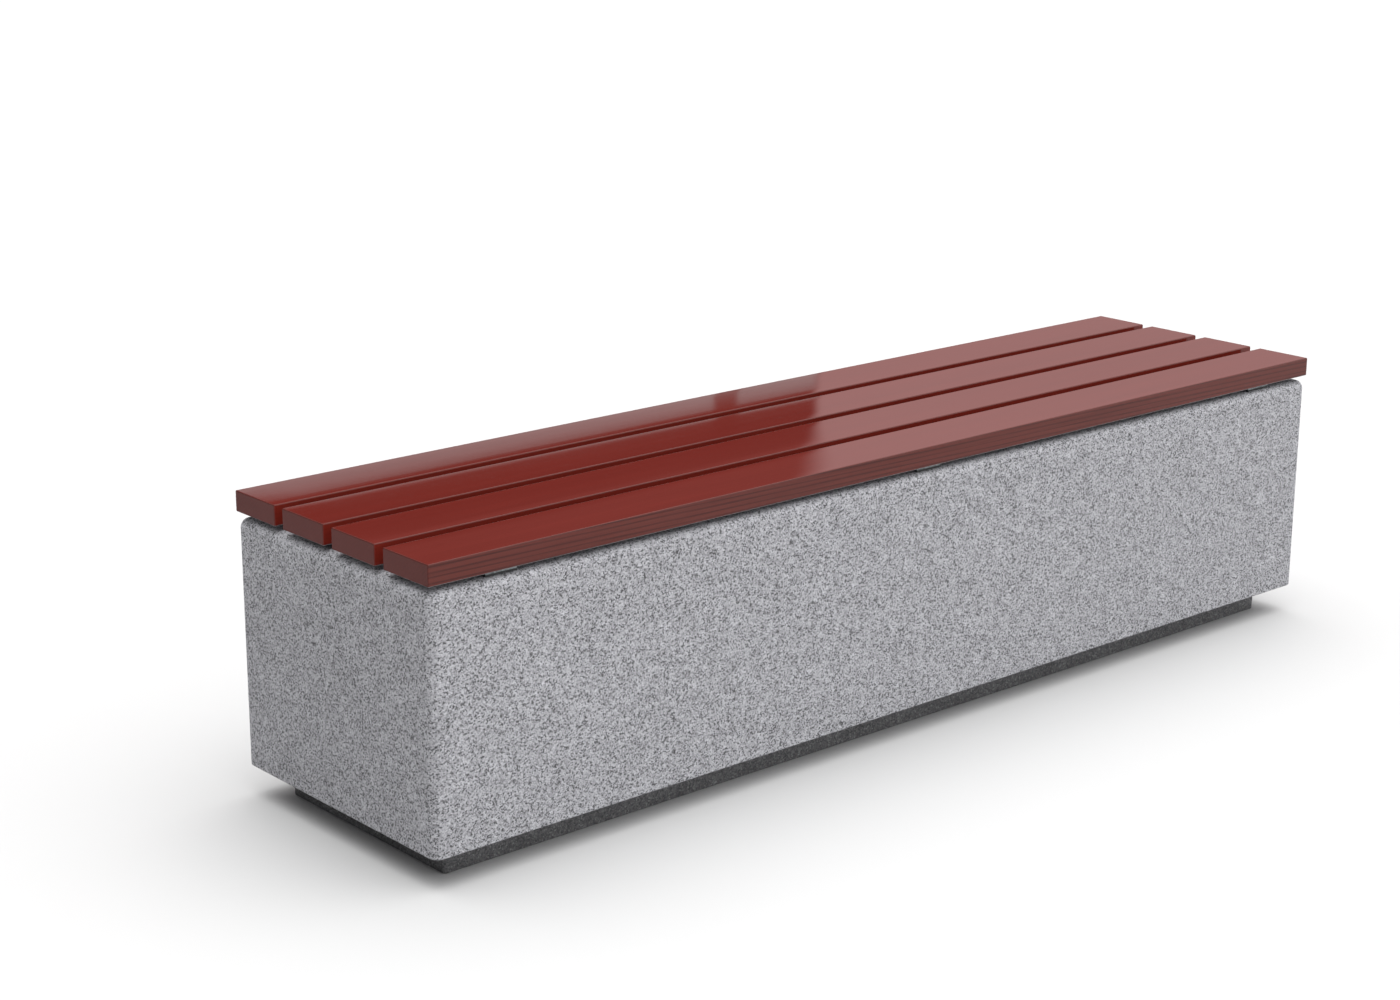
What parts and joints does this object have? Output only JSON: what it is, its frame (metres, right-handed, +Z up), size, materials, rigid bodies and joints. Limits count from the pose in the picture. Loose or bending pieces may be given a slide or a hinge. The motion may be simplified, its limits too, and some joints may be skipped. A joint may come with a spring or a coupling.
{
  "type": "backless bench",
  "caption": "Backless street bench: a granite-look concrete block on a recessed dark plinth, topped by hardwood planks on steel cross bars.",
  "frame": {"origin": "on the ground, at the centre of the plinth's underside", "axes": "+X along the bench, +Y across it towards the back long side, +Z up"},
  "size_m": [1.8, 0.45, 0.443],
  "materials": {
    "granite_concrete": "matte",
    "dark_concrete": "matte",
    "hardwood": "satin",
    "galvanised_steel": "satin",
    "rubber": "matte",
    "stainless_steel": "satin",
    "zinc_plated_steel": "satin",
    "reinforcing_steel": "matte",
    "foam": "matte"
  },
  "bodies": {
    "root": {"concrete_body": "granite_concrete", "foam_core": "foam", "plinth": "dark_concrete", "plank_front": "hardwood", "plank_mid_front": "hardwood", "plank_mid_back": "hardwood", "plank_back": "hardwood", "cross_bar_left": "galvanised_steel", "cross_bar_middle": "galvanised_steel", "cross_bar_right": "galvanised_steel", "bar_pad_left": "rubber", "bar_pad_middle": "rubber", "bar_pad_right": "rubber", "plank_screws_left": "stainless_steel", "plank_screws_middle": "stainless_steel", "plank_screws_right": "stainless_steel", "bar_bolts": "stainless_steel", "bar_bolt_washers": "stainless_steel", "plinth_bolts": "stainless_steel", "plinth_washers": "stainless_steel", "bar_inserts": "zinc_plated_steel", "plinth_inserts": "zinc_plated_steel", "lifting_sockets": "zinc_plated_steel", "reinforcing_bars": "reinforcing_steel", "reinforcing_hairpins": "reinforcing_steel"}
  },
  "joints": []
}
